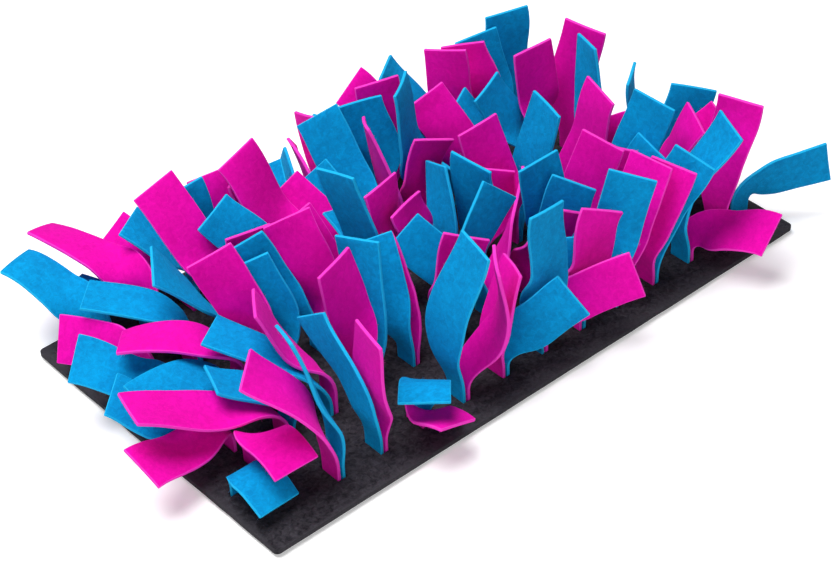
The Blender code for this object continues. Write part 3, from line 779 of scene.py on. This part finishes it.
def felt_group():
    """Matted fibres and a painted highlight on the edges: colour, roughness and height over a piece
    of felt.
    """
    tree = bpy.data.node_groups.new("felt_grain_and_edge_highlight", "ShaderNodeTree")
    for name in ("Lit colour", "Deep colour", "Edge highlight colour"):
        add_input(tree, name, "NodeSocketColor", WHITE)
    for name, value in zip(("Fibre scale", "Fleck scale", "Fleck strength"), STRIP_GRAIN):
        add_input(tree, name, "NodeSocketFloat", value)
    for name, kind in (("Colour", "Color"), ("Roughness", "Float"), ("Height", "Float")):
        tree.interface.new_socket(name, in_out="OUTPUT", socket_type=f"NodeSocket{kind}")
    given = add_node(tree, "NodeGroupInput").outputs
    place = add_node(tree, "ShaderNodeTexCoord").outputs["Object"]
    edge = add_node(tree, "ShaderNodeAttribute", attribute_name="painted_edge_highlight").outputs["Fac"]
    fibres = noise_at(tree, place, given["Fibre scale"], 4.0, 1.6, "RIDGED_MULTIFRACTAL")
    fine = noise_at(tree, place, work_out(tree, "MULTIPLY", given["Fibre scale"], 3.1), 2.0, 0.6)
    flecks = noise_at(tree, place, given["Fleck scale"], 3.0, 0.8)
    cloud = noise_at(tree, place, CLOUD_SCALE, 2.0)
    fibre_part = work_out(tree, "MULTIPLY", fibres, FIBRE_SHARE)
    fine_part = work_out(tree, "MULTIPLY", fine, FINE_SHARE)
    fleck_part = work_out(tree, "MULTIPLY", flecks, given["Fleck strength"])
    cloud_part = work_out(tree, "MULTIPLY", cloud, CLOUD_SHARE)
    total = work_out(tree, "ADD", fibre_part, fine_part)
    total = work_out(tree, "ADD", total, work_out(tree, "ADD", fleck_part, cloud_part))
    fixed = FIBRE_SHARE + FINE_SHARE + CLOUD_SHARE
    weights = work_out(tree, "ADD", given["Fleck strength"], fixed)
    share = add_node(tree, "ShaderNodeMapRange", clamp=True)
    share.inputs["From Min"].default_value = DEEPEST
    share.inputs["From Max"].default_value = LIGHTEST
    tree.links.new(work_out(tree, "DIVIDE", total, weights), share.inputs["Value"])
    face = mix_colours(tree, share.outputs[0], given["Deep colour"], given["Lit colour"])
    # Painted highlight: the masked edges take the lighter edge colour, broken up by the fine noise.
    edge_highlight_share = work_out(tree, "MULTIPLY", edge, work_out(tree, "ADD", fine, 0.3, clamp=True))
    colour = mix_colours(tree, edge_highlight_share, face, given["Edge highlight colour"])
    height = work_out(tree, "ADD", work_out(tree, "MULTIPLY", fibres, 0.5), fine)
    height = work_out(tree, "ADD", height, work_out(tree, "MULTIPLY", flecks, 0.8))
    rough = work_out(tree, "ADD", work_out(tree, "MULTIPLY", fine, 0.12), 0.84)
    out = add_node(tree, "NodeGroupOutput").inputs
    tree.links.new(colour, out["Colour"])
    tree.links.new(rough, out["Roughness"])
    tree.links.new(height, out["Height"])
    return tree


def felt_material(letter, group, grain):
    """Felt of one colour, with its soft sheen."""
    material = bpy.data.materials.new(FELT_NAMES[letter])
    material.use_nodes = True
    tree = material.node_tree
    shader = tree.nodes["Principled BSDF"]
    lit, deep, edge = FELTS[letter]
    felt = add_node(tree, "ShaderNodeGroup", node_tree=group)
    felt.inputs["Lit colour"].default_value = (*lit, 1.0)
    felt.inputs["Deep colour"].default_value = (*deep, 1.0)
    felt.inputs["Edge highlight colour"].default_value = (*edge, 1.0)
    for name, value in zip(("Fibre scale", "Fleck scale", "Fleck strength"), grain):
        felt.inputs[name].default_value = value
    relief = add_node(tree, "ShaderNodeBump")
    relief.inputs["Strength"].default_value = RELIEF
    relief.inputs["Distance"].default_value = RELIEF_DEPTH * MM
    tree.links.new(felt.outputs["Height"], relief.inputs["Height"])
    tree.links.new(relief.outputs["Normal"], shader.inputs["Normal"])
    tree.links.new(felt.outputs["Colour"], shader.inputs["Base Color"])
    tree.links.new(felt.outputs["Roughness"], shader.inputs["Roughness"])
    shader.inputs["Specular IOR Level"].default_value = GLOSS
    shader.inputs["Sheen Weight"].default_value = SHEEN[letter]
    shader.inputs["Sheen Roughness"].default_value = SHEEN_ROUGHNESS
    shader.inputs["Sheen Tint"].default_value = (*edge, 1.0)
    return material


def fibre_material(letter):
    """Loose fibres of one felt, mixed at random from its lit colour and the painted highlight colour
    of its edges.
    """
    material = bpy.data.materials.new(f"{FELT_NAMES[letter]}_fibres")
    material.use_nodes = True
    tree = material.node_tree
    shader = tree.nodes["Principled BSDF"]
    place = add_node(tree, "ShaderNodeTexCoord").outputs["Object"]
    shade = noise_at(tree, place, 700.0, 1.0)
    ramp = add_node(tree, "ShaderNodeMix", data_type="RGBA")
    lit, _, edge = FELTS[letter]
    ramp.inputs[6].default_value = (*lit, 1.0)
    ramp.inputs[7].default_value = (*edge, 1.0)
    tree.links.new(shade, ramp.inputs["Factor"])
    tree.links.new(ramp.outputs[2], shader.inputs["Base Color"])
    shader.inputs["Roughness"].default_value = 0.8
    shader.inputs["Specular IOR Level"].default_value = 0.15
    return material


def fibre_tree():
    """Geometry nodes: short bent fibres spread over the faces of a mesh."""
    tree = bpy.data.node_groups.new("loose_fibres", "GeometryNodeTree")
    tree.interface.new_socket("Felt", in_out="INPUT", socket_type="NodeSocketGeometry")
    add_input(tree, "Fibres per square metre", "NodeSocketFloat", 1000.0)
    add_input(tree, "Length", "NodeSocketFloat", 0.001)
    add_input(tree, "Radius", "NodeSocketFloat", 0.00003)
    tree.interface.new_socket("Material", in_out="INPUT", socket_type="NodeSocketMaterial")
    tree.interface.new_socket("Fibres", in_out="OUTPUT", socket_type="NodeSocketGeometry")
    given = add_node(tree, "NodeGroupInput").outputs
    spots = add_node(tree, "GeometryNodeDistributePointsOnFaces")
    spots.inputs["Seed"].default_value = SEED
    tree.links.new(given["Felt"], spots.inputs["Mesh"])
    tree.links.new(given["Fibres per square metre"], spots.inputs["Density"])
    line = add_node(tree, "GeometryNodeCurvePrimitiveBezierSegment")
    line.inputs["Resolution"].default_value = FIBRE_STEPS
    for name, share in FIBRE_BEND.items():
        size = add_node(tree, "ShaderNodeVectorMath", operation="SCALE")
        size.inputs[0].default_value = share
        tree.links.new(given["Length"], size.inputs["Scale"])
        tree.links.new(size.outputs[0], line.inputs[name])
    ring = add_node(tree, "GeometryNodeCurvePrimitiveCircle")
    ring.inputs["Resolution"].default_value = FIBRE_SIDES
    tree.links.new(given["Radius"], ring.inputs["Radius"])
    fibre = add_node(tree, "GeometryNodeCurveToMesh")
    tree.links.new(line.outputs["Curve"], fibre.inputs["Curve"])
    tree.links.new(ring.outputs["Curve"], fibre.inputs["Profile Curve"])
    fibre.inputs["Fill Caps"].default_value = True
    turn = add_node(tree, "FunctionNodeRandomValue", data_type="FLOAT")
    turn.inputs[2].default_value = 0.0
    turn.inputs[3].default_value = 2 * math.pi
    turn.inputs["Seed"].default_value = SEED + 1
    spin = add_node(tree, "FunctionNodeAxisAngleToRotation")
    tree.links.new(turn.outputs[1], spin.inputs["Angle"])
    lean = add_node(tree, "FunctionNodeRotateRotation", rotation_space="LOCAL")
    tree.links.new(spots.outputs["Rotation"], lean.inputs["Rotation"])
    tree.links.new(spin.outputs["Rotation"], lean.inputs["Rotate By"])
    size = add_node(tree, "FunctionNodeRandomValue", data_type="FLOAT")
    size.inputs[2].default_value, size.inputs[3].default_value = FIBRE_SIZES
    size.inputs["Seed"].default_value = SEED + 2
    copies = add_node(tree, "GeometryNodeInstanceOnPoints")
    tree.links.new(spots.outputs["Points"], copies.inputs["Points"])
    tree.links.new(fibre.outputs["Mesh"], copies.inputs["Instance"])
    tree.links.new(lean.outputs["Rotation"], copies.inputs["Rotation"])
    tree.links.new(size.outputs[1], copies.inputs["Scale"])
    whole = add_node(tree, "GeometryNodeRealizeInstances")
    tree.links.new(copies.outputs["Instances"], whole.inputs["Geometry"])
    coloured = add_node(tree, "GeometryNodeSetMaterial")
    tree.links.new(whole.outputs["Geometry"], coloured.inputs["Geometry"])
    tree.links.new(given["Material"], coloured.inputs["Material"])
    out = add_node(tree, "NodeGroupOutput")
    tree.links.new(coloured.outputs["Geometry"], out.inputs["Fibres"])
    return tree


def joined_mesh(pieces):
    """One mesh with the faces of several pieces."""
    whole = bmesh.new()
    for piece in pieces:
        whole.from_mesh(piece.data)
    mesh = bpy.data.meshes.new("joined")
    whole.to_mesh(mesh)
    whole.free()
    return mesh


def add_fibres(name, pieces, tree, letter, count):
    """Loose fibres over some pieces, made a plain mesh."""
    mesh = joined_mesh(pieces)
    area = sum(face.area for face in mesh.polygons)
    carrier = bpy.data.objects.new(f"{name}_carrier", mesh)
    bpy.context.scene.collection.objects.link(carrier)
    modifier = carrier.modifiers.new("fibres", "NODES")
    modifier.node_group = tree
    values = {
        "Fibres per square metre": count / area,
        "Length": FIBRE_LENGTH * MM,
        "Radius": FIBRE_RADIUS * MM,
        "Material": fibre_material(letter),
    }
    for item in tree.interface.items_tree:
        if item.name in values:
            modifier[item.identifier] = values[item.name]
    seen = carrier.evaluated_get(bpy.context.evaluated_depsgraph_get())
    made = bpy.data.meshes.new_from_object(seen)
    bpy.data.objects.remove(carrier)
    made.name = name
    piece = bpy.data.objects.new(name, made)
    bpy.context.scene.collection.objects.link(piece)
    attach(piece, "root")


def strip_name(row, strip):
    """Name of a strip of the rows."""
    return f"{ROW_NAMES[row]}_strip_{strip + 1:02d}"


def add_strip_piece(node, keys, laid, letter, material, seed):
    """Felt strip that stands for its node."""
    rings, masks = strip_rings(keys, laid, seed)
    piece = new_piece(f"felt_{node}", lambda shape: bridge_rings(shape, rings, masks))
    piece.data.materials.append(material)
    length = sum(laid[key].length for key in keys) + 2 * ROOT_TOP + strip_span(keys)
    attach(piece, "root")
    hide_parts(node)
    return piece


def strip_span(keys):
    """Distance between the two roots of a strip."""
    near, far = (np.array(root_of(key)[:2]) for key in keys)
    return float(np.linalg.norm(far - near))


def cut_grid(shape):
    """Cut the faces of the base along a grid, so that they can take its waves."""
    for axis, size in ((0, BASE_LENGTH), (1, BASE_DEPTH)):
        for spot in np.arange(BASE_GRID - size / 2, size / 2 - 1.0, BASE_GRID):
            place = Vector((spot * MM if axis == 0 else 0.0, spot * MM if axis else 0.0, 0.0))
            way = Vector((1.0 - axis, float(axis), 0.0))
            parts = shape.verts[:] + shape.edges[:] + shape.faces[:]
            bmesh.ops.bisect_plane(shape, geom=parts, dist=1e-7, plane_co=place, plane_no=way)


def add_base_piece(material):
    """Felt base in the shape of its node, with soft edges and a slight unevenness."""
    shape = bmesh.new()
    shape.from_mesh(frame["nodes"]["base_sheet"].data)
    bmesh.ops.remove_doubles(shape, verts=shape.verts, dist=MM * 0.01)
    bmesh.ops.dissolve_limit(shape, angle_limit=0.01, verts=shape.verts, edges=shape.edges)
    cut_grid(shape)
    mesh = bpy.data.meshes.new("felt_base")
    shape.to_mesh(mesh)
    shape.free()
    piece = bpy.data.objects.new("felt_base", mesh)
    bpy.context.scene.collection.objects.link(piece)
    soften_edges(piece)
    shift_base(piece.data)
    piece.data.materials.append(material)
    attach(piece, "root")
    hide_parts("base_sheet")
    return piece


def soften_edges(piece):
    """Round the sharp edges of the base and apply the result."""
    bevel = piece.modifiers.new("soft", "BEVEL")
    bevel.width = BASE_EDGE * MM
    bevel.segments = BASE_EDGE_STEPS
    bevel.limit_method = "ANGLE"
    bevel.angle_limit = math.radians(SHARPEST_FOLD)
    seen = piece.evaluated_get(bpy.context.evaluated_depsgraph_get())
    mesh = bpy.data.meshes.new_from_object(seen)
    piece.modifiers.remove(bevel)
    piece.data = mesh
    mesh.name = piece.name
    mesh.shade_smooth()


def shift_base(mesh):
    """Uneven cut edge, slight waves and the mask of the painted highlight along the rim of the base.
    """
    edge = mesh.attributes.new("painted_edge_highlight", "FLOAT", "POINT")
    for vert in mesh.vertices:
        x, y, z = vert.co / MM
        rim = max(abs(x) - BASE_LENGTH / 2, abs(y) - BASE_DEPTH / 2)
        # Painted highlight on the rim band.
        edge.data[vert.index].value = BASE_RIM_HIGHLIGHT if rim > -BASE_RIM else 0.0
        height = BASE_WAVE * wave((x, y, 0.0), BASE_WAVE_SIZE, BASE_WAVE_SEED)
        height *= min(1.0, max(0.0, (z - 1.0) / 2.0))
        cut = CUT_WAVE * wave((x, y, 0.0), WAVE_SIZE, BASE_CUT_SEED)
        cut *= max(0.0, 1.0 + rim / BASE_CUT_REACH)
        vert.co.z += height * MM
        vert.co.x += cut * MM
        vert.co.y -= cut * MM


def add_camera():
    """Camera at the height and turn from which the mat is shown."""
    compass, rise, roll = (math.radians(a) for a in (CAMERA_COMPASS, CAMERA_RISE, CAMERA_ROLL))
    back = Vector((
        math.sin(compass) * math.cos(rise),
        -math.cos(compass) * math.cos(rise),
        math.sin(rise),
    ))
    data = bpy.data.cameras.new("camera")
    data.lens = LENS
    data.sensor_width = SENSOR
    camera = bpy.data.objects.new("camera", data)
    camera.location = (Vector(AIM) + back * CAMERA_DISTANCE) * MM
    facing = (-back).to_track_quat("-Z", "Y").to_matrix()
    tilt = Matrix.Rotation(roll, 3, "Z")
    camera.rotation_euler = (facing @ tilt).to_euler()
    data.clip_end = 20.0
    bpy.context.scene.collection.objects.link(camera)
    bpy.context.scene.camera = camera


def add_area_light(name, place, size, power):
    """Large soft light aimed at the mat."""
    data = bpy.data.lights.new(name, "AREA")
    data.shape = "DISK"
    data.size = size
    data.energy = power
    light = bpy.data.objects.new(name, data)
    light.location = place
    light.rotation_euler = (-Vector(place)).to_track_quat("-Z", "Y").to_euler()
    bpy.context.scene.collection.objects.link(light)


def seen_strength(tree, strength, lighting, seen):
    """Strength of a glow: one for the light on the mat, another for what the camera sees."""
    path = add_node(tree, "ShaderNodeLightPath")
    choice = add_node(tree, "ShaderNodeMapRange")
    choice.inputs["To Min"].default_value = lighting
    choice.inputs["To Max"].default_value = seen
    tree.links.new(path.outputs["Is Camera Ray"], choice.inputs["Value"])
    tree.links.new(choice.outputs["Result"], strength)


def add_floor():
    """Plain pale floor."""
    mesh = bpy.data.meshes.new("floor")
    shape = bmesh.new()
    bmesh.ops.create_grid(shape, x_segments=1, y_segments=1, size=FLOOR_REACH)
    shape.to_mesh(mesh)
    shape.free()
    floor = bpy.data.objects.new("floor", mesh)
    floor.location.z = -FLOOR_DROP
    material = bpy.data.materials.new("floor")
    material.use_nodes = True
    shader = material.node_tree.nodes["Principled BSDF"]
    shader.inputs["Base Color"].default_value = (FLOOR_SHADE, FLOOR_SHADE, FLOOR_SHADE, 1.0)
    shader.inputs["Roughness"].default_value = FLOOR_ROUGHNESS
    shader.inputs["Emission Color"].default_value = WHITE
    seen_strength(material.node_tree, shader.inputs["Emission Strength"], 0.0, FLOOR_GLOW)
    floor.data.materials.append(material)
    bpy.context.scene.collection.objects.link(floor)
    floor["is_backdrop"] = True


def add_studio():
    """Soft studio lights and a pale backdrop."""
    for name, place, size, power in LIGHTS:
        add_area_light(name, place, size, power)
    world = bpy.data.worlds.new("studio")
    world.use_nodes = True
    backdrop = world.node_tree.nodes["Background"]
    backdrop.inputs["Color"].default_value = WHITE
    seen_strength(world.node_tree, backdrop.inputs["Strength"], WORLD_STRENGTH, SEEN_STRENGTH)
    bpy.context.scene.world = world
    bpy.context.scene.view_settings.view_transform = "Standard"


def add_strips(laid, materials):
    """All the strips, sorted by their colour."""
    sorted_strips = {"M": [], "B": []}
    seed = FIRST_SEED
    wanted = [
        (strip_name(row, strip), strip_ends(row, strip), letter)
        for row, letters in enumerate(ROW_COLOURS)
        for strip, letter in enumerate(letters)
    ]
    wanted += [(f"{side}_edge_strip", ((side, 0), (side, 1)), EDGE_COLOUR) for side in EDGE_TAILS]
    for node, keys, letter in wanted:
        seed += SEED_STEP
        piece = add_strip_piece(node, keys, laid, letter, materials[letter], seed)
        sorted_strips[letter].append(piece)
    return sorted_strips


def main():
    """The mat on its stage: the base, the strips and their loose fibres."""
    add_camera()
    add_floor()
    add_studio()
    group = felt_group()
    materials = {
        "M": felt_material("M", group, STRIP_GRAIN),
        "B": felt_material("B", group, STRIP_GRAIN),
        "C": felt_material("C", group, BASE_GRAIN),
    }
    base = add_base_piece(materials["C"])
    sorted_strips = add_strips(lay_tails(), materials)
    tree = fibre_tree()
    for letter, pieces in sorted_strips.items():
        count = FIBRES_PER_STRIP * len(pieces)
        add_fibres(f"{FELT_NAMES[letter]}_loose_fibres", pieces, tree, letter, count)
    add_fibres("base_loose_fibres", [base], tree, "C", BASE_FIBRES)


main()
mat_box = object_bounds()
boxes = {"cad": cad_box, "visual": mat_box}
{name: [list(corner) for corner in box] for name, box in boxes.items()}
